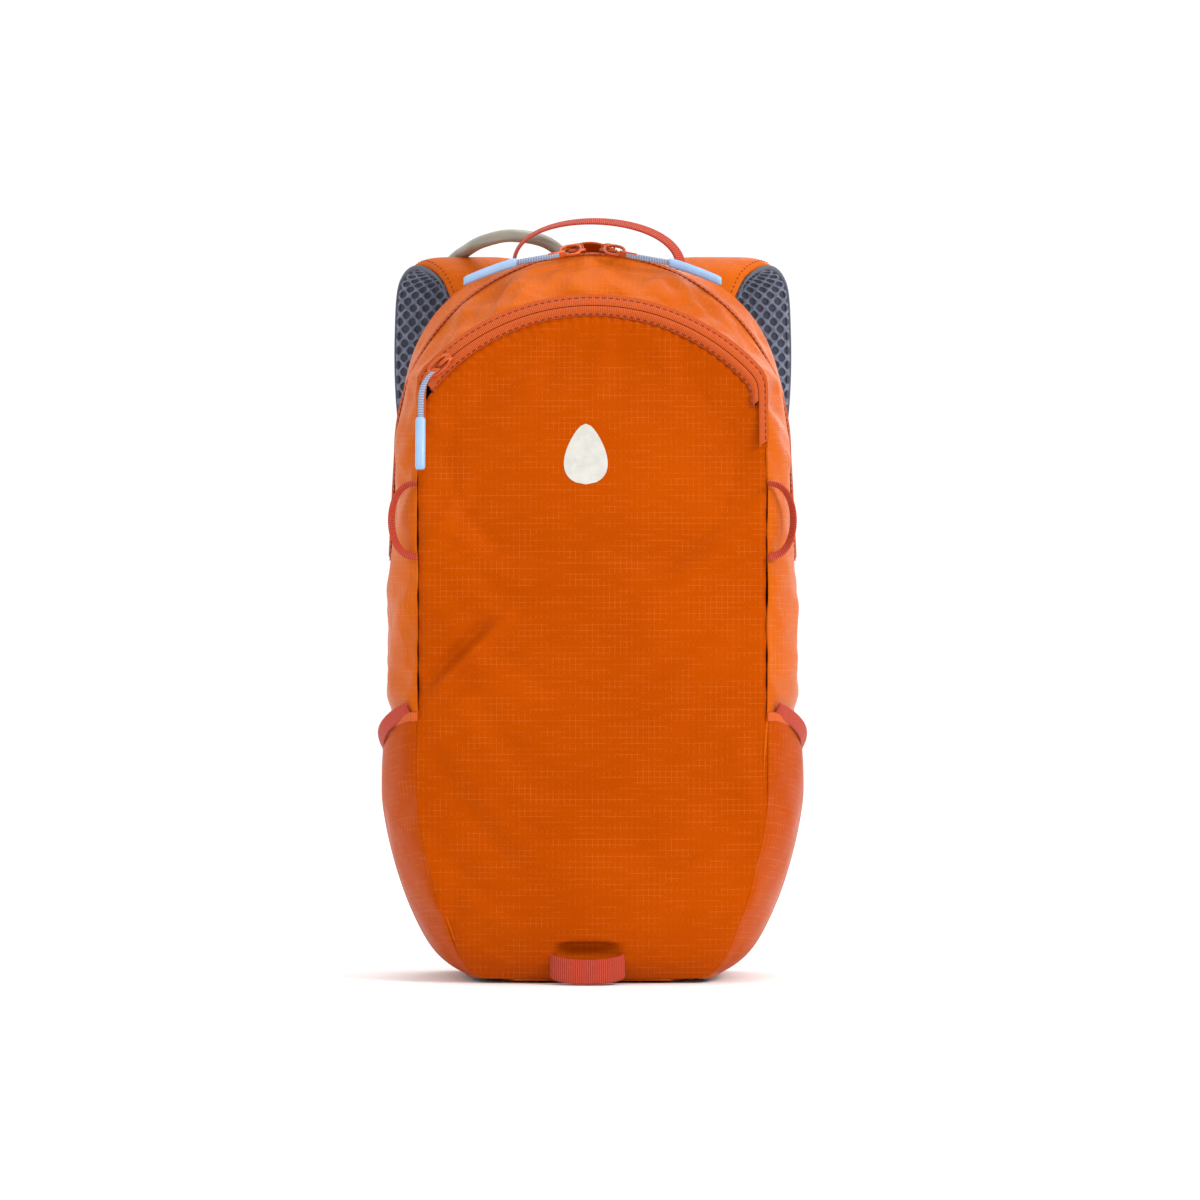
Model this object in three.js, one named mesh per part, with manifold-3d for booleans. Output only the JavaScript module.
// Hydration daypack: fabric shell, clamshell lid, front zip pocket, side pockets, harness and reservoir.
// Millimetres. +Z is up, the pack's front faces -Y and the wearer's side faces +Y.
// The origin is the middle of the flat base that the pack stands on.
import * as THREE from 'three';
import { ParametricGeometry } from 'three/addons/geometries/ParametricGeometry.js';
import { mergeVertices } from 'three/addons/utils/BufferGeometryUtils.js';
import Module from 'manifold-3d';

const wasm = await Module();
wasm.setup();

// ---- driving dimensions ----
const BAG_HEIGHT = 446; // base to the crown of the main zip
const SHOULDER_HALF = 121; // half width where the arch meets the straight sides
const ARCH_Z = BAG_HEIGHT - SHOULDER_HALF; // centre of the main zip's arch
const REAR_RISE = 122; // height of the rear outline above the arch centre
const REAR_SQUARENESS = 2.65; // exponent of the rear outline, 2 is a circle
const BELLY = 5.5; // how far the sides swell below the shoulders
const REAR_Y = 50; // where the side walls meet the back panel
const ZIP_Y = 8; // plane of the main zip
const WALL = 2.2; // padded fabric wall
const GAP = 0.4; // clearance between neighbours

const FRONT_RIM_Y = -62; // plane of the front pocket's rim, before it leans back
const FRONT_LEAN = THREE.MathUtils.degToRad(10);
const FRONT_ARCH_Z = 283; // centre of the pocket zip's arch
const FRONT_ARCH_RADIUS = 131;
const FRONT_HALF = 101; // half width of the front panel at its arch corners
const FRONT_DOME = 15; // how far the front panel crowns in front of its rim
const BASE_TUCK = 20; // how far the front pulls back at the base
const BASE_TUCK_Z = 70;

const LID_HINGE_Z = 256; // height of the main zip's ends, where the lid folds
const FOLD_ANGLE = THREE.MathUtils.degToRad(44); // wedge of loose fabric that the lid folds into
const FLAP_HINGE_Z = 345; // where the pocket flap folds
const POCKET_MOUTH_FRONT_Z = 162;
const POCKET_MOUTH_REAR_Z = 122;
const POCKET_DEPTH = 13; // how far the side wall steps in behind a side pocket

const STRAP_TOP_WIDTH = 66;
const STRAP_END_WIDTH = 46;
const PAD_THICK = 8;
const SHELL_THICK = 2.2;
const WEBBING = { wide: 20, narrow: 16, thick: 1.6 };
const HOSE_DIAMETER = 8;
const HARNESS_LEAN = 0.14; // run of the strap's straight stretch in Y for each unit of Z
const STERNUM_Z = 300;
const RAIL_X = 70;

const SIDES = { left: -1, right: 1 };
const { lerp, clamp } = THREE.MathUtils;
const QUARTER_RUN = (SHOULDER_HALF * Math.PI) / 2; // zip run from the crown to a shoulder
const FRONT_CORNER_ANGLE = Math.asin(FRONT_HALF / FRONT_ARCH_RADIUS);
const FRONT_CORNER_RUN = FRONT_ARCH_RADIUS * FRONT_CORNER_ANGLE;
const HINGE_RUN = QUARTER_RUN + ARCH_Z - LID_HINGE_Z;
const LID_REACH = HINGE_RUN - GAP;
const LID_COLUMNS = 36;
const CORNER_COLUMN = 10; // the column, from the crown, that faces the pocket's corner
const GUSSET_CORNER_ANGLE = (LID_REACH * CORNER_COLUMN * 2) / LID_COLUMNS / SHOULDER_HALF;

// ---- colours and materials ----
const material = (color, roughness, metalness = 0) =>
  new THREE.MeshStandardMaterial({ color, roughness, metalness });
const ripstop = () => material('#d2570f', 0.55);
const gusset = () => material('#e8702a', 0.5);
const zipTape = () => material('#c9540f', 0.6);
const coralWebbing = () => material('#c4452a', 0.7);
const spacerMesh = () => material('#5c5f6e', 0.9);
const greyPlastic = () => material('#4a4d58', 0.45);
const paleGrip = () => material('#b1cfe7', 0.35);
const sliderMetal = () => material('#c65a1c', 0.4, 0.6);

// ---- solids ----

// Merges the shared vertices, drops collapsed triangles and turns the faces outward.
function solid(source) {
  let geometry = source.clone();
  for (const name of ['normal', 'uv']) geometry.deleteAttribute(name);
  geometry = mergeVertices(geometry, 1e-4);
  const place = geometry.getAttribute('position');
  const kept = [];
  let volume = 0;
  const corner = [new THREE.Vector3(), new THREE.Vector3(), new THREE.Vector3()];
  for (let i = 0; i < geometry.index.count; i += 3) {
    const [a, b, c] = [0, 1, 2].map((k) => geometry.index.getX(i + k));
    if (a === b || b === c || c === a) continue;
    [a, b, c].forEach((vertex, k) => corner[k].fromBufferAttribute(place, vertex));
    volume += corner[0].dot(corner[1].clone().cross(corner[2]));
    kept.push([a, b, c]);
  }
  geometry.setIndex(kept.flatMap(([a, b, c]) => (volume < 0 ? [a, c, b] : [a, b, c])));
  return geometry;
}

// A closed body between two surfaces that share their (u, v) grid.
function slab(outer, inner, columns, rows) {
  const around = 2 * (columns + 1);
  const along = rows + 2;
  const skin = (a, b, target) => {
    const ring = Math.round(a * around) % around;
    const step = Math.round(b * along);
    const onOuter = ring <= columns;
    const u = (onOuter ? ring : around - 1 - ring) / columns;
    const v = clamp(step - 1, 0, rows) / rows;
    const isSeam = step === 0 || step === along;
    const point = isSeam ? outer(u, v).lerp(inner(u, v), 0.5) : onOuter ? outer(u, v) : inner(u, v);
    target.copy(point);
  };
  return solid(new ParametricGeometry(skin, around, along));
}

// The surface moved along its own normal, towards the bag's core for a positive distance.
function insetSurface(surface, distance) {
  const step = 1e-3;
  return (u, v) => {
    const point = surface(u, v);
    const alongU = surface(u + step, v).sub(surface(u - step, v));
    const alongV = surface(u, v + step).sub(surface(u, v - step));
    const normal = alongU.cross(alongV).normalize();
    const core = new THREE.Vector3(0, 0, Math.min(point.z, ARCH_Z));
    const towardsCore = normal.dot(core.sub(point)) > 0 ? 1 : -1;
    return point.addScaledVector(normal, towardsCore * distance);
  };
}

const wallPanel = (surface, columns, rows, thickness = WALL, proud = 0) =>
  slab(insetSurface(surface, -proud), insetSurface(surface, thickness - proud), columns, rows);

// Flat webbing along a curve. across(t) is the direction of its width.
function ribbon(curve, width, thickness, across, rows, lift = 0) {
  const face = (offset) => (u, v) => {
    const tangent = curve.getTangent(v);
    const side = across(v, tangent);
    const normal = side.clone().cross(tangent).normalize();
    const wide = typeof width === 'function' ? width(v) : width;
    return curve.getPoint(v).addScaledVector(side, (u - 0.5) * wide).addScaledVector(normal, offset);
  };
  return slab(face(lift + thickness), face(lift), 1, rows);
}

const xAcross = (v, tangent) => new THREE.Vector3(1, 0, 0).addScaledVector(tangent, -tangent.x).normalize();
const fixedAcross = (x, y, z) => () => new THREE.Vector3(x, y, z).normalize();
const smoothCurve = (points) =>
  new THREE.CatmullRomCurve3(points.map(([x, y, z]) => new THREE.Vector3(x, y, z)), false, 'centripetal');

function formulaCurve(pointAt) {
  const curve = new THREE.Curve();
  curve.getPoint = (t) => pointAt(t);
  return curve;
}

function roundedShape(width, height, radius) {
  const shape = new THREE.Shape();
  const [w, h] = [width / 2, height / 2];
  shape.moveTo(-w + radius, -h).lineTo(w - radius, -h).absarc(w - radius, -h + radius, radius, -Math.PI / 2, 0);
  shape.lineTo(w, h - radius).absarc(w - radius, h - radius, radius, 0, Math.PI / 2);
  shape.lineTo(-w + radius, h).absarc(-w + radius, h - radius, radius, Math.PI / 2, Math.PI);
  shape.lineTo(-w, -h + radius).absarc(-w + radius, -h + radius, radius, Math.PI, Math.PI * 1.5);
  return shape;
}

const extrude = (shape, depth, curveSegments = 3) =>
  new THREE.ExtrudeGeometry(shape, { depth, curveSegments, bevelEnabled: false });

// An outline drawn in X and Z, made solid from the plane yRear towards the pack's front.
const uprightPlate = (shape, depth, yRear, curveSegments) =>
  solid(extrude(shape, depth, curveSegments).rotateX(Math.PI / 2).translate(0, yRear, 0));

const roundedBlock = (width, height, depth, radius) =>
  extrude(roundedShape(width, height, radius), depth, 2).rotateX(Math.PI / 2).translate(0, depth / 2, 0);

function cut(body, tool) {
  const asManifold = (geometry) =>
    new wasm.Manifold(
      new wasm.Mesh({
        numProp: 3,
        vertProperties: new Float32Array(geometry.getAttribute('position').array),
        triVerts: new Uint32Array(geometry.index.array),
      }),
    );
  const mesh = asManifold(body).subtract(asManifold(solid(tool))).getMesh();
  const result = new THREE.BufferGeometry();
  result.setAttribute('position', new THREE.BufferAttribute(new Float32Array(mesh.vertProperties), 3));
  result.setIndex(new THREE.BufferAttribute(new Uint32Array(mesh.triVerts), 1));
  return solid(result);
}

// ---- the bag's skin ----

function sideHalfWidth(z) {
  const belly = BELLY * Math.sin((Math.PI * (ARCH_Z - z)) / (ARCH_Z - 15));
  const taper = 33 * (Math.max(0, 130 - z) / 130) ** 1.8;
  const corner = 20 * (1 - Math.sqrt(1 - (clamp(24 - z, 0, 24) / 24) ** 2));
  return SHOULDER_HALF + belly - taper - corner;
}

// Y of the domed front at a place on it.
function frontY(x, z) {
  const above = Math.max(0, z - FRONT_ARCH_Z);
  const fromCentre = Math.hypot(x, above / Math.cos(FRONT_LEAN));
  const dome = FRONT_DOME * (1 - (fromCentre / FRONT_ARCH_RADIUS) ** 2);
  const tuck = BASE_TUCK * (Math.max(0, BASE_TUCK_Z - z) / BASE_TUCK_Z) ** 2;
  return FRONT_RIM_Y + above * Math.tan(FRONT_LEAN) + tuck - dome;
}

// A point on the pocket's arch: run is the distance from its crown, offset is outward from the zip's line.
function frontArch(run, offset = 0) {
  const radius = FRONT_ARCH_RADIUS + offset;
  const angle = clamp(run / FRONT_ARCH_RADIUS, -FRONT_CORNER_ANGLE, FRONT_CORNER_ANGLE);
  const drop = Math.max(0, Math.abs(run) - FRONT_CORNER_RUN);
  const x = radius * Math.sin(angle);
  const z = FRONT_ARCH_Z + radius * Math.cos(angle) * Math.cos(FRONT_LEAN) - drop;
  return new THREE.Vector3(x, frontY(x, z), z);
}

const GUSSET_EDGE = 6.8; // from the pocket zip's line out to the lid's gusset
const FLAP_EDGE = 6.2; // from the pocket zip's line in to the flap
const FRONT_EDGE_X = (FRONT_ARCH_RADIUS + GUSSET_EDGE) * Math.sin(FRONT_CORNER_ANGLE);
const FRONT_CORNER_Z = frontArch(FRONT_CORNER_RUN, GUSSET_EDGE).z;
const PANEL_SEAM = 2.6; // from the gusset's edge to the front panel

function frontEdge(side, z) {
  const taper = z < LID_HINGE_Z ? sideHalfWidth(z) / sideHalfWidth(LID_HINGE_Z) : 1;
  const x = side * FRONT_EDGE_X * Math.min(1, taper);
  return new THREE.Vector3(x, frontY(x, z), z);
}

// Three lines run up one side, over the top and down the other: at the back, at the zip and at the front.
// run is the distance along the zip from its crown.
function lineAt(run, overArch, onSide) {
  const side = Math.sign(run);
  const past = Math.abs(run) - QUARTER_RUN;
  return past > 0 ? onSide(side, ARCH_Z - past) : overArch(run / SHOULDER_HALF);
}

const rearLine = (run) =>
  lineAt(
    run,
    (angle) => {
      const across = Math.abs(Math.sin(angle)) / SHOULDER_HALF;
      const up = Math.abs(Math.cos(angle)) / REAR_RISE;
      const radius = (across ** REAR_SQUARENESS + up ** REAR_SQUARENESS) ** (-1 / REAR_SQUARENESS);
      return new THREE.Vector3(radius * Math.sin(angle), REAR_Y, ARCH_Z + radius * Math.cos(angle));
    },
    (side, z) => new THREE.Vector3(side * sideHalfWidth(z), REAR_Y, z),
  );

const zipLine = (run) =>
  lineAt(
    run,
    (angle) => new THREE.Vector3(SHOULDER_HALF * Math.sin(angle), ZIP_Y, ARCH_Z + SHOULDER_HALF * Math.cos(angle)),
    (side, z) => new THREE.Vector3(side * sideHalfWidth(z), ZIP_Y, z),
  );

const frontLine = (run) =>
  lineAt(
    run,
    (angle) => {
      const share = Math.abs(angle) / GUSSET_CORNER_ANGLE;
      if (share <= 1) return frontArch((angle / GUSSET_CORNER_ANGLE) * FRONT_CORNER_RUN, GUSSET_EDGE);
      const rest = (Math.abs(angle) - GUSSET_CORNER_ANGLE) / (Math.PI / 2 - GUSSET_CORNER_ANGLE);
      return frontEdge(Math.sign(angle), lerp(FRONT_CORNER_Z, ARCH_Z, rest));
    },
    frontEdge,
  );

// The bag's wall: depth 0 is the back, 1 the zip and 2 the front panel's edge, round a full corner.
function wallPoint(run, depth) {
  if (depth <= 1) return rearLine(run).lerp(zipLine(run), depth);
  const t = clamp(depth - 1, 0, 1);
  const round = (1 - t ** 2.2) ** 0.62;
  const zip = zipLine(run);
  const front = frontLine(run);
  return new THREE.Vector3(lerp(front.x, zip.x, round), lerp(zip.y, front.y, t), lerp(front.z, zip.z, round));
}

const runAtHeight = (z) => QUARTER_RUN + ARCH_Z - z;

// The wall's depth at a given Y, on the line that starts at run.
function depthAtY(y, run = 0) {
  if (y >= ZIP_Y) return (REAR_Y - y) / (REAR_Y - ZIP_Y);
  return 1 + (ZIP_Y - y) / (ZIP_Y - frontLine(run).y);
}

// Samples a wall's front corner more closely than its flat.
const easeToCorner = (u) => Math.sin((clamp(u, 0, 1) * Math.PI) / 2);

const foldLineZ = (y) => LID_HINGE_Z - Math.max(0, ZIP_Y - y) * Math.tan(FOLD_ANGLE);

const BASE_TOP = 2.5;
const WALL_FOOT = BASE_TOP + GAP;

// ---- shell pieces that stay put ----

function bottomPanel() {
  const half = sideHalfWidth(0);
  const edge = frontEdge(1, 0);
  const shape = new THREE.Shape();
  shape.moveTo(-half, REAR_Y - 12).quadraticCurveTo(-half, REAR_Y, -half + 12, REAR_Y);
  shape.lineTo(half - 12, REAR_Y).quadraticCurveTo(half, REAR_Y, half, REAR_Y - 12);
  shape.lineTo(half, ZIP_Y).quadraticCurveTo(half, edge.y, edge.x, edge.y);
  shape.quadraticCurveTo(0, frontY(0, 0) - 4, -edge.x, edge.y);
  shape.quadraticCurveTo(-half, edge.y, -half, ZIP_Y);
  return solid(extrude(shape, BASE_TOP, 5));
}

const BACK_FACE_Y = REAR_Y + 5;

function backPanel() {
  const inset = 1.5;
  const shape = new THREE.Shape();
  const footHalf = sideHalfWidth(WALL_FOOT) - inset;
  shape.moveTo(-footHalf, WALL_FOOT);
  const steps = 36;
  const reach = runAtHeight(WALL_FOOT);
  for (let i = 0; i <= steps; i += 1) {
    const point = rearLine(lerp(-reach, reach, i / steps));
    shape.lineTo(point.x - Math.sign(point.x) * inset, point.z - (Math.abs(point.x) < 60 ? 1 : 0));
  }
  return uprightPlate(shape, BACK_FACE_Y - REAR_Y - GAP, BACK_FACE_Y);
}

function backPad() {
  const [low, high] = [70, 405];
  const block = roundedBlock(168, high - low, 7, 30);
  return solid(block.translate(0, BACK_FACE_Y + GAP + 3.5, (low + high) / 2));
}

function sidePanel(side) {
  const surface = (u, v) => {
    const depth = 2 * easeToCorner(u);
    const y = wallPoint(side * HINGE_RUN, depth).y;
    const z = lerp(WALL_FOOT, foldLineZ(y) - GAP, v);
    const point = wallPoint(side * runAtHeight(z), depth);
    const stepIn = POCKET_DEPTH * THREE.MathUtils.smoothstep(178 - z, 0, 40) * (1 - clamp(depth - 1, 0, 1) ** 3);
    const footFade = clamp((z - WALL_FOOT) / 30, 0, 1);
    point.x -= side * stepIn * footFade;
    return point;
  };
  return wallPanel(surface, 7, 12);
}

function rearGusset() {
  const tapeEdge = depthAtY(ZIP_Y + 5);
  const surface = (u, v) => wallPoint(lerp(-HINGE_RUN, HINGE_RUN, u), lerp(0.01, tapeEdge, v));
  const strip = wallPanel(surface, 32, 2);
  const slot = roundedBlock(24, 60, 13, 4).translate(HOSE_EXIT.x, HOSE_EXIT.y, HOSE_EXIT.z);
  return cut(strip, slot);
}

function sidePocket(side) {
  const surface = (u, v) => {
    const depth = lerp(0.04, 1.9, easeToCorner(u));
    const mouth = lerp(POCKET_MOUTH_REAR_Z, POCKET_MOUTH_FRONT_Z, u);
    const z = lerp(28, mouth, v);
    return wallPoint(side * runAtHeight(z), depth);
  };
  return wallPanel(surface, 7, 7, 1.4, 2.6);
}

function frontPanelLower() {
  const surface = (u, v) => {
    const across = 2 * u - 1;
    const top = foldLineZ(frontY(across * FRONT_EDGE_X, 180)) - GAP;
    const z = lerp(WALL_FOOT, top, v);
    const x = across * (frontEdge(1, z).x - PANEL_SEAM);
    return new THREE.Vector3(x, frontY(x, z), z);
  };
  return wallPanel(surface, 8, 8);
}

// ---- the lid ----

// The loose fabric below the lid, which crumples when the lid tips forward.
function lidFold() {
  const sideShare = 0.2;
  const surface = (u, v) => {
    const side = u < 0.5 ? -1 : 1;
    const inFromEnd = Math.min(u, 1 - u);
    const onFront = inFromEnd >= sideShare;
    const depth = lerp(depthAtY(ZIP_Y - 8), 2, easeToCorner(inFromEnd / sideShare));
    const across = onFront ? (u - 0.5) / (0.5 - sideShare) : side;
    const edgeY = onFront ? frontY(across * FRONT_EDGE_X, 220) : wallPoint(side * HINGE_RUN, depth).y;
    const z = lerp(foldLineZ(edgeY) + GAP, LID_HINGE_Z - GAP, v);
    if (!onFront) return wallPoint(side * runAtHeight(z), depth);
    const x = across * FRONT_EDGE_X;
    return new THREE.Vector3(x, frontY(x, z), z);
  };
  return wallPanel(surface, 20, 4);
}

function lidGusset() {
  const surface = (u, v) => {
    const run = lerp(-LID_REACH, LID_REACH, u);
    return wallPoint(run, lerp(depthAtY(ZIP_Y - 5, run), 2, easeToCorner(v)));
  };
  return wallPanel(surface, LID_COLUMNS, 4);
}

function zipStrip(yNear, yFar) {
  const surface = (u, v) => {
    const point = zipLine(lerp(-LID_REACH, LID_REACH, u));
    return point.setY(lerp(yNear, yFar, v));
  };
  return wallPanel(surface, 32, 1, 2.6, 0.6);
}

function frontPanelUpper() {
  const half = FRONT_EDGE_X - PANEL_SEAM;
  const surface = (u, v) => {
    const x = lerp(-half, half, u);
    const z = lerp(LID_HINGE_Z + GAP, FLAP_HINGE_Z - GAP, v);
    return new THREE.Vector3(x, frontY(x, z), z);
  };
  return wallPanel(surface, 8, 4);
}

function pocketFlap() {
  const radius = FRONT_ARCH_RADIUS - FLAP_EDGE;
  const half = radius * Math.sin(FRONT_CORNER_ANGLE);
  const surface = (u, v) => {
    const x = half * Math.sin((lerp(-1, 1, u) * Math.PI) / 2.6) / Math.sin(Math.PI / 2.6);
    const top = FRONT_ARCH_Z + Math.cos(FRONT_LEAN) * Math.sqrt(radius ** 2 - x ** 2);
    const z = lerp(FLAP_HINGE_Z + GAP, top, v);
    return new THREE.Vector3(x, frontY(x, z), z);
  };
  return wallPanel(surface, 14, 4);
}

const FRONT_ZIP_REACH = FRONT_CORNER_RUN + FRONT_CORNER_Z - FLAP_HINGE_Z - 8;

function frontZipStrip(near, far) {
  const surface = (u, v) => frontArch(lerp(-FRONT_ZIP_REACH, FRONT_ZIP_REACH, u), lerp(near, far, v));
  return wallPanel(surface, 24, 1, 2.8, 0.8);
}

function frontPocketLining() {
  const spread = 88;
  const surface = (u, v) => {
    const x = lerp(-spread, spread, u);
    const z = lerp(LID_HINGE_Z + 4, 392 - 0.0035 * x * x, v);
    const sag = 17 * (1 - (x / spread) ** 4) * Math.min(1, v * 6);
    return new THREE.Vector3(x, frontY(x, z) + WALL + 1.2 + sag, z);
  };
  return slab(surface, (u, v) => surface(u, v).add(new THREE.Vector3(0, 1.2, 0)), 8, 8);
}

// ---- zip sliders and pulls ----

// A slider body with a raised bridge, lying on a zip that runs along X with +Z away from the fabric.
function sliderBody(length, width) {
  const profile = new THREE.Shape();
  const half = length / 2;
  profile.moveTo(-half, 0).lineTo(half, 0).lineTo(half, 2.2).lineTo(half * 0.55, 2.6);
  profile.quadraticCurveTo(half * 0.5, 5.2, 0, 5.2).quadraticCurveTo(-half * 0.5, 5.2, -half * 0.55, 2.6);
  profile.lineTo(-half, 2.2).closePath();
  return extrude(profile, width, 3).rotateX(Math.PI / 2).translate(0, width / 2, 0);
}

// Places a piece made round the origin on the main zip's arch, its X axis along the zip.
function onMainArch(geometry, angle, height) {
  const placed = geometry.translate(0, 0, SHOULDER_HALF + height).rotateY(angle);
  return solid(placed.translate(0, ZIP_Y, ARCH_Z));
}

const MAIN_SLIDER_ANGLE = THREE.MathUtils.degToRad(4.4);
const MAIN_TAPE_TOP = 0.6 + GAP;

const mainSlider = (side) => onMainArch(sliderBody(11, 9), side * MAIN_SLIDER_ANGLE, MAIN_TAPE_TOP);

const MAIN_PULL_Y = ZIP_Y - 14;

// The cord and grip of a main slider trail outward along the arch, in front of the zip's plane.
function mainPullCurve(side) {
  const radii = [127.8, 127.4, 126.4, 125.2];
  const angles = [0.13, 0.23, 0.32, 0.4];
  return smoothCurve(
    angles.map((angle, i) => [
      side * radii[i] * Math.sin(angle),
      MAIN_PULL_Y,
      ARCH_Z + radii[i] * Math.cos(angle),
    ]),
  );
}

const mainPullCord = (side) => ribbon(mainPullCurve(side), 4.6, 1.8, fixedAcross(0, 1, 0), 6);

// A grip is an eight-sided moulded bar with chamfered ends, made along +X.
function gripBar(length, width, thickness) {
  const nose = 2.5;
  const stations = [
    [0, 0.7],
    [nose, 1],
    [length - nose, 1],
    [length, 0.7],
  ];
  const rows = stations.length - 1;
  const face = (sign) => (u, v) => {
    const [x, scale] = stations[Math.round(clamp(v, 0, 1) * rows)];
    const across = (2 * u - 1) * scale;
    const crown = Math.abs(2 * u - 1) > 0.9 ? 0.45 : 1;
    return new THREE.Vector3(x, (across * width) / 2, (sign * crown * scale * thickness) / 2);
  };
  return slab(face(1), face(-1), 3, rows);
}

function mainPullGrip(side) {
  const slope = THREE.MathUtils.degToRad(19.5);
  const placed = gripBar(29, 6.4, 4.6).rotateY(slope).translate(51.8, MAIN_PULL_Y, ARCH_Z + 114.2);
  return solid(side > 0 ? placed : placed.applyMatrix4(new THREE.Matrix4().makeScale(-1, 1, 1)));
}

const FRONT_SLIDER_ANGLE = -THREE.MathUtils.degToRad(43.5);

// Places a piece made round the origin on the pocket zip's arch: X along the zip, +Z away from the fabric.
function onFrontArch(geometry, angle, height) {
  const placed = geometry.rotateX(Math.PI / 2).translate(0, -height, FRONT_ARCH_RADIUS).rotateY(angle);
  return solid(placed.rotateX(-FRONT_LEAN).translate(0, FRONT_RIM_Y, FRONT_ARCH_Z));
}

const frontSlider = () => onFrontArch(sliderBody(12, 9), FRONT_SLIDER_ANGLE, 2.4);

const PULL_PLANE_Y = FRONT_RIM_Y + 6.2; // Y of the hanging pull at its top
const PULL_X = -104;

function frontPullCord() {
  const hang = smoothCurve([
    [PULL_X + 5.5, PULL_PLANE_Y, 370.5],
    [PULL_X + 1.5, PULL_PLANE_Y - 2.7, 363],
    [PULL_X, PULL_PLANE_Y - 6, 353],
    [PULL_X, PULL_PLANE_Y - 8.6, 341],
  ]);
  return ribbon(hang, 4.6, 1.6, xAcross, 4);
}

function frontPullGrip() {
  const grip = gripBar(29, 6.1, 4.6).rotateX(Math.PI / 2).rotateY(Math.PI / 2);
  return solid(grip.rotateX(-0.2).translate(PULL_X, PULL_PLANE_Y - 9.4, 340.4));
}

// ---- loops and handle ----

const HANDLE = { half: 49, endZ: 440.2, rise: 26.7, y: 24 };

function haulHandle() {
  const arch = formulaCurve((t) => {
    const angle = Math.PI * (1 - t);
    return new THREE.Vector3(
      HANDLE.half * Math.cos(angle),
      HANDLE.y,
      HANDLE.endZ + HANDLE.rise * Math.sin(angle) ** 0.85,
    );
  });
  return ribbon(arch, 10, 1.4, fixedAcross(0, 1, 0), 20);
}

const UPPER_LOOP = { x: 111.6, bulge: 10.4, y: -66, z: 281, half: 22 };

function upperLoop(side) {
  const arch = formulaCurve((t) => {
    const angle = Math.PI * t;
    return new THREE.Vector3(
      side * (UPPER_LOOP.x + UPPER_LOOP.bulge * Math.sin(angle)),
      UPPER_LOOP.y,
      UPPER_LOOP.z + UPPER_LOOP.half * Math.cos(angle),
    );
  });
  return ribbon(arch, 7.6, 1.2, fixedAcross(0, -side, 0), 12);
}

// A folded tape that edges the outer end of a side pocket's mouth.
function lowerLoop(side) {
  const surface = (u, v) => {
    const depth = lerp(1.35, 1.97, v);
    const z = lerp(136, POCKET_MOUTH_FRONT_Z + 1, v) + lerp(0, 8, u);
    return wallPoint(side * runAtHeight(z), depth);
  };
  return wallPanel(surface, 1, 6, 1.4, 4.6);
}

const LIGHT_LOOP = { x: -3, half: 22, lowZ: 2.5, highZ: 17.5 };

function lightLoop() {
  const path = formulaCurve((t) => {
    const angle = Math.PI * t;
    const x = LIGHT_LOOP.x - LIGHT_LOOP.half * Math.cos(angle);
    return new THREE.Vector3(x, frontY(0, LIGHT_LOOP.highZ) - 1.2 - 9 * Math.sin(angle), 10);
  });
  return ribbon(path, LIGHT_LOOP.highZ - LIGHT_LOOP.lowZ, 1.4, fixedAcross(0, 0, 1), 12);
}

// ---- harness ----

function strapSpine(side) {
  return smoothCurve([
    [side * 56, 60, 421],
    [side * 64, 70, 435],
    [side * 78, 90, 440.5],
    [side * 88, 108, 431],
    [side * 93, 119, 400],
    [side * 93, 119, 350],
    [side * 88, 112, 300],
    [side * 83, 105, 250],
    [side * 80, 98.7, 205],
  ]);
}

const strapWidth = (v) => lerp(STRAP_TOP_WIDTH, STRAP_END_WIDTH, v ** 1.4);

const strapPad = (side) =>
  ribbon(strapSpine(side), strapWidth, PAD_THICK, fixedAcross(1, 0, 0), 22, -PAD_THICK);
const strapShell = (side) =>
  ribbon(strapSpine(side), strapWidth, SHELL_THICK, fixedAcross(1, 0, 0), 22, GAP);

const RAIL_HALF = 42;
const leanY = (z) => 112 + HARNESS_LEAN * (z - STERNUM_Z);

function rail(side) {
  const at = (z) => [side * RAIL_X, leanY(z) + SHELL_THICK + GAP + 2.4, z];
  const line = smoothCurve([at(STERNUM_Z + RAIL_HALF), at(STERNUM_Z), at(STERNUM_Z - RAIL_HALF)]);
  return ribbon(line, 8, 1.6, xAcross, 2);
}

const STERNUM_Y = leanY(STERNUM_Z) + 7.4;
const leanBack = (geometry) => geometry.rotateX(-Math.atan(HARNESS_LEAN));
const atSternum = (geometry, x, dy = 0) => solid(leanBack(geometry).translate(x, STERNUM_Y + dy, STERNUM_Z));

const sternumSlider = (side) => atSternum(roundedBlock(14, 20, 3.4, 3), side * RAIL_X, 2);
const sternumWebbing = (side) =>
  atSternum(roundedBlock(41, WEBBING.narrow, WEBBING.thick, 0.5), side * (RAIL_X - 7.4 - 20.5), 2);

// The buckle's socket: a body that is open towards +X.
function buckleSocket() {
  const shape = new THREE.Shape();
  shape.moveTo(-20, -12).lineTo(6, -12).lineTo(6, -8.6).lineTo(-9, -8.6).lineTo(-9, 8.6);
  shape.lineTo(6, 8.6).lineTo(6, 12).lineTo(-20, 12).quadraticCurveTo(-22, 0, -20, -12);
  return atSternum(extrude(shape, 6, 3).rotateX(Math.PI / 2).translate(0, 3, 0), 0, 2);
}

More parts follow.
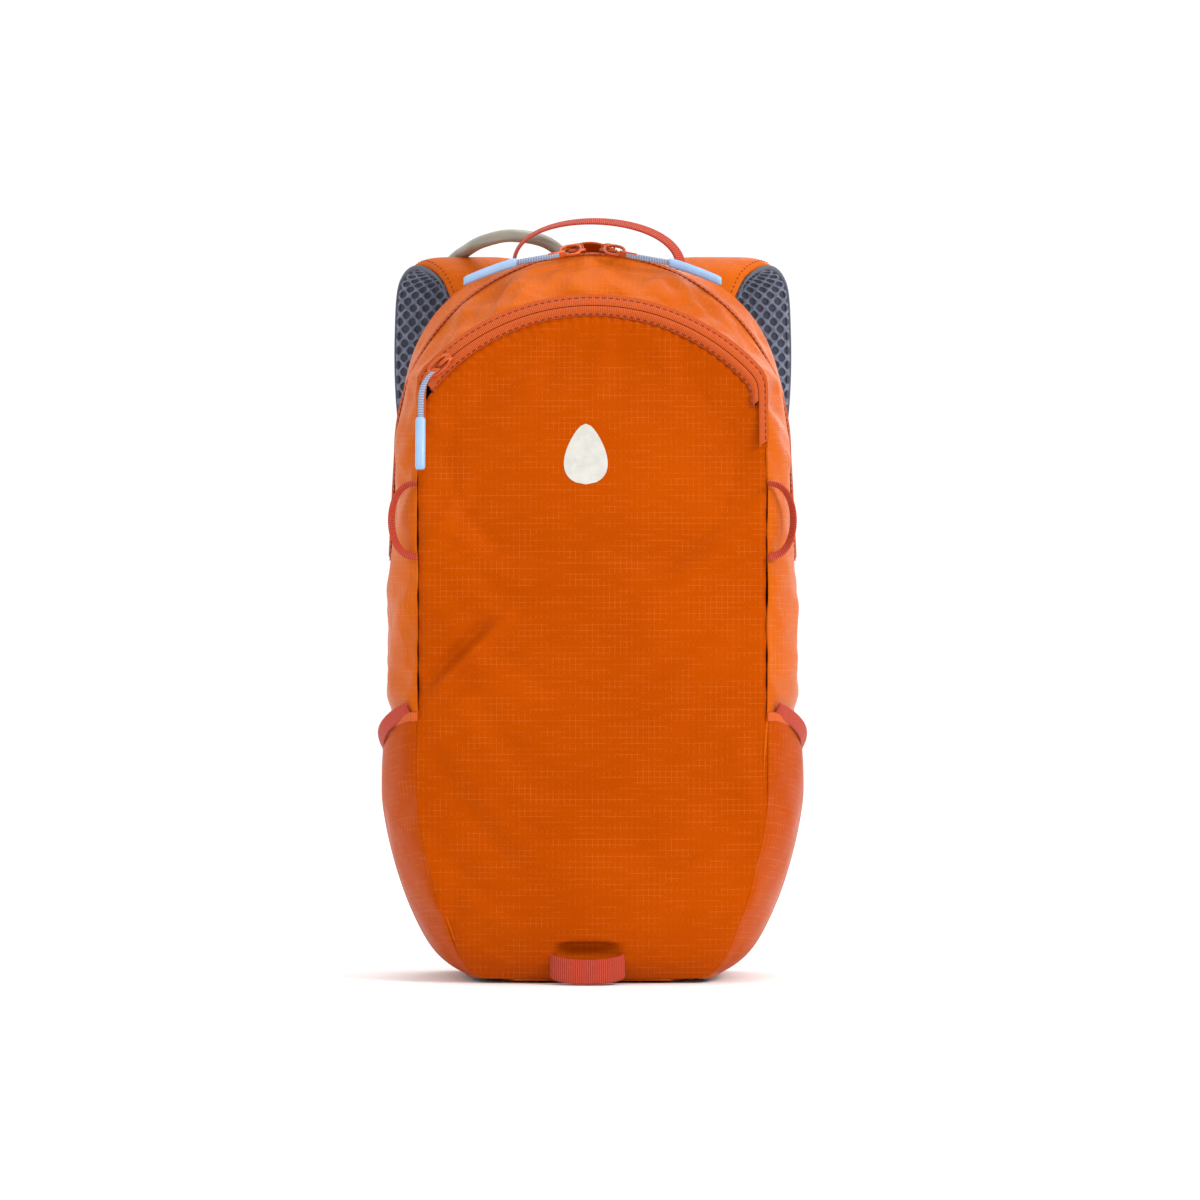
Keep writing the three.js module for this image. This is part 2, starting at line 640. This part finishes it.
// The buckle's plug: two prongs and a stem inside the socket, and a bar for the webbing.
function bucklePlug() {
  const shape = new THREE.Shape();
  shape.moveTo(20, -12).lineTo(7, -12).lineTo(7, -7.8).lineTo(-6, -7.8).lineTo(-8, -4.6).lineTo(3, -4.6);
  shape.lineTo(3, -1.4).lineTo(-8, -1.4).lineTo(-8, 1.4).lineTo(3, 1.4).lineTo(3, 4.6);
  shape.lineTo(-8, 4.6).lineTo(-6, 7.8).lineTo(7, 7.8).lineTo(7, 12).lineTo(20, 12).closePath();
  return atSternum(extrude(shape, 4.4, 3).rotateX(Math.PI / 2).translate(0, 2.2, 0), 0, 2);
}

const LOCK = { top: 203.6, length: 22, width: 29 };

function ladderLock(side) {
  const shape = roundedShape(LOCK.width, LOCK.length, 3);
  for (const centre of [-5, 5]) {
    const slot = new THREE.Path();
    slot.moveTo(-11.5, centre - 2.6).lineTo(-11.5, centre + 2.6);
    slot.lineTo(11.5, centre + 2.6).lineTo(11.5, centre - 2.6).closePath();
    shape.holes.push(slot);
  }
  const plate = extrude(shape, 3.2, 2).rotateX(Math.PI / 2).translate(0, 1.6, 0);
  const centreZ = LOCK.top - LOCK.length / 2 - GAP;
  return solid(leanBack(plate).translate(side * 80, leanY(centreZ), centreZ));
}

function lowerWebbing(side) {
  const path = smoothCurve([
    [side * 80, 92, 177],
    [side * 87, 87, 150],
    [side * 96, 74, 110],
    [side * 103, 62.5, 78],
  ]);
  return ribbon(path, WEBBING.wide, WEBBING.thick, xAcross, 8);
}

function strapAnchor(side) {
  const shape = new THREE.Shape();
  shape.moveTo(side * 90, 46).lineTo(side * 111, 56).lineTo(side * 112, 66).lineTo(side * 94, 77).closePath();
  return uprightPlate(shape, 2.4, BACK_FACE_Y + GAP + 2.4);
}

// ---- drinking system ----

const HOSE_EXIT = new THREE.Vector3(-15, 37.5, 441);

// Up inside the sleeve, out through the port, over the left strap and down its face.
const hosePath = smoothCurve([
  [0, 25, 48],
  [0, 24, 120],
  [0, 24, 250],
  [-3, 26, 350],
  [-8, 32, 415],
  [-15, 36.5, 443],
  [-28, 39, 456],
  [-50, 45, 461],
  [-68, 62, 459],
  [-80, 84, 454.5],
  [-91, 106, 447],
  [-101, 123, 424],
  [-104, 128.2, 392],
  [-104, 127.6, 350],
  [-101, 123.5, 300],
  [-98, 120.5, 266],
]);

function hose() {
  const section = new THREE.Shape();
  section.absarc(0, 0, HOSE_DIAMETER / 2, 0, 2 * Math.PI);
  const tube = new THREE.ExtrudeGeometry(section, {
    steps: 44,
    curveSegments: 10,
    bevelEnabled: false,
    extrudePath: hosePath,
  });
  return solid(tube);
}

// A turned piece in line with the hose's end, from its top down.
function alongHoseEnd(profile, drop) {
  const turned = new THREE.LatheGeometry(profile.map(([r, z]) => new THREE.Vector2(r, z)), 14);
  const end = hosePath.getPoint(1);
  return solid(leanBack(turned.rotateX(-Math.PI / 2)).translate(end.x, end.y - drop * 0.139, end.z - drop * 0.99));
}

const biteValveBody = () =>
  alongHoseEnd(
    [
      [0, 0],
      [5.4, 0],
      [6.8, 4],
      [6.8, 20],
      [5, 24],
      [0, 24],
    ],
    GAP,
  );

const biteValveMouthpiece = () =>
  alongHoseEnd(
    [
      [0, 0],
      [8, 0],
      [8.4, 6],
      [6.4, 20],
      [0, 21],
    ],
    24.4 + GAP,
  );

// An elastic keeper that holds the hose on the strap.
function hoseKeeper() {
  const centre = hosePath.getPoint(0.8);
  const reach = HOSE_DIAMETER / 2 + 0.6;
  const legs = 0.2; // share of the path in each straight leg
  const legDepth = 4;
  const path = formulaCurve((t) => {
    const angle = Math.PI * clamp((t - legs) / (1 - 2 * legs), 0, 1);
    const leg = (Math.max(0, legs - t, t - (1 - legs)) / legs) * legDepth;
    return centre.clone().add(new THREE.Vector3(reach * Math.cos(angle), reach * Math.sin(angle) - leg, 0));
  });
  return ribbon(path, 12, 1, fixedAcross(0, 0, -1), 12);
}

function portFlap() {
  const surface = (u, v) => {
    const run = lerp(-26, 22, u);
    return wallPoint(run, depthAtY(lerp(31, 44, v)));
  };
  const lifted = (rise) => (u, v) => {
    const lift = 1 + rise + 10 * Math.sin(Math.PI * clamp(u, 0, 1)) * v;
    return surface(u, v).add(new THREE.Vector3(0, 0, lift));
  };
  return cut(slab(lifted(1.2), lifted(0), 8, 3), roundedBlock(24, 60, 16, 4).translate(-22, 40, 452));
}

function reservoir() {
  const [half, low, high, thick] = [76, 16, 366, 17];
  const pillow = (sign) => (u, v) => {
    const x = (2 * u - 1) * half * (0.9 + 0.1 * Math.sin(Math.PI * v));
    const swell = (1 - Math.abs(2 * u - 1) ** 4) ** 0.5 * (1 - Math.abs(2 * v - 1) ** 8) ** 0.5;
    return new THREE.Vector3(x, 39.5 + sign * (0.6 + (thick / 2) * swell), lerp(low, high, v));
  };
  return slab(pillow(-1), pillow(1), 8, 8);
}

const reservoirClip = () => solid(roundedBlock(158, 12, 11, 5).translate(0, 40, 373));

function reservoirHanger() {
  const strap = smoothCurve([
    [0, 38.5, 379.8],
    [0, 41, 392],
    [0, 46.6, 408],
  ]);
  return ribbon(strap, 18, 1.4, xAcross, 3);
}

function hydrationSleeve() {
  const shape = roundedShape(166, 268, 8);
  return uprightPlate(shape, 1.2, 18.5).translate(0, 0, 24 + 134);
}

// ---- assembly ----

const pack = new THREE.Group();

function add(name, geometry, look) {
  const mesh = new THREE.Mesh(geometry, look);
  mesh.name = name;
  pack.add(mesh);
}

add('bottom_panel', bottomPanel(), ripstop());
add('back_panel', backPanel(), ripstop());
add('back_pad', backPad(), spacerMesh());
add('rear_gusset', rearGusset(), gusset());
add('front_panel_lower', frontPanelLower(), ripstop());
add('main_zip_rear_tape', zipStrip(ZIP_Y + 1, ZIP_Y + 4.6), zipTape());
add('main_zip_lid_tape', zipStrip(ZIP_Y - 4.6, ZIP_Y - 1), zipTape());
add('lid_fold', lidFold(), ripstop());
add('lid_gusset', lidGusset(), gusset());
add('front_panel_upper', frontPanelUpper(), ripstop());
add('pocket_flap', pocketFlap(), ripstop());
add('pocket_zip_outer_tape', frontZipStrip(0.8, 4.2), zipTape());
add('pocket_zip_flap_tape', frontZipStrip(-4.2, -0.8), zipTape());
add('front_pocket_lining', frontPocketLining(), ripstop());
add('front_slider', frontSlider(), sliderMetal());
add('front_pull_cord', frontPullCord(), coralWebbing());
add('front_pull_grip', frontPullGrip(), paleGrip());
add('haul_handle', haulHandle(), coralWebbing());
add('light_loop', lightLoop(), coralWebbing());
add('port_flap', portFlap(), gusset());
add('drink_hose', hose(), material('#b7b19d', 0.35));
add('hose_keeper', hoseKeeper(), greyPlastic());
add('bite_valve_body', biteValveBody(), greyPlastic());
add('bite_valve_mouthpiece', biteValveMouthpiece(), material('#9fc4e0', 0.3));
add('reservoir', reservoir(), material('#a9c7d8', 0.2));
add('reservoir_clip', reservoirClip(), greyPlastic());
add('reservoir_hanger', reservoirHanger(), coralWebbing());
add('hydration_sleeve', hydrationSleeve(), ripstop());
add('buckle_socket', buckleSocket(), greyPlastic());
add('buckle_plug', bucklePlug(), greyPlastic());

for (const [name, side] of Object.entries(SIDES)) {
  add(`side_panel_${name}`, sidePanel(side), gusset());
  add(`side_pocket_${name}`, sidePocket(side), ripstop());
  add(`upper_loop_${name}`, upperLoop(side), coralWebbing());
  add(`lower_loop_${name}`, lowerLoop(side), coralWebbing());
  add(`main_slider_${name}`, mainSlider(side), sliderMetal());
  add(`main_pull_cord_${name}`, mainPullCord(side), material('#b0aab3', 0.6));
  add(`main_pull_grip_${name}`, mainPullGrip(side), paleGrip());
  add(`strap_pad_${name}`, strapPad(side), spacerMesh());
  add(`strap_shell_${name}`, strapShell(side), gusset());
  add(`strap_webbing_${name}`, lowerWebbing(side), coralWebbing());
  add(`strap_anchor_${name}`, strapAnchor(side), coralWebbing());
  add(`ladder_lock_${name}`, ladderLock(side), greyPlastic());
  add(`sternum_rail_${name}`, rail(side), coralWebbing());
  add(`sternum_slider_${name}`, sternumSlider(side), greyPlastic());
  add(`sternum_webbing_${name}`, sternumWebbing(side), coralWebbing());
}

export default pack;
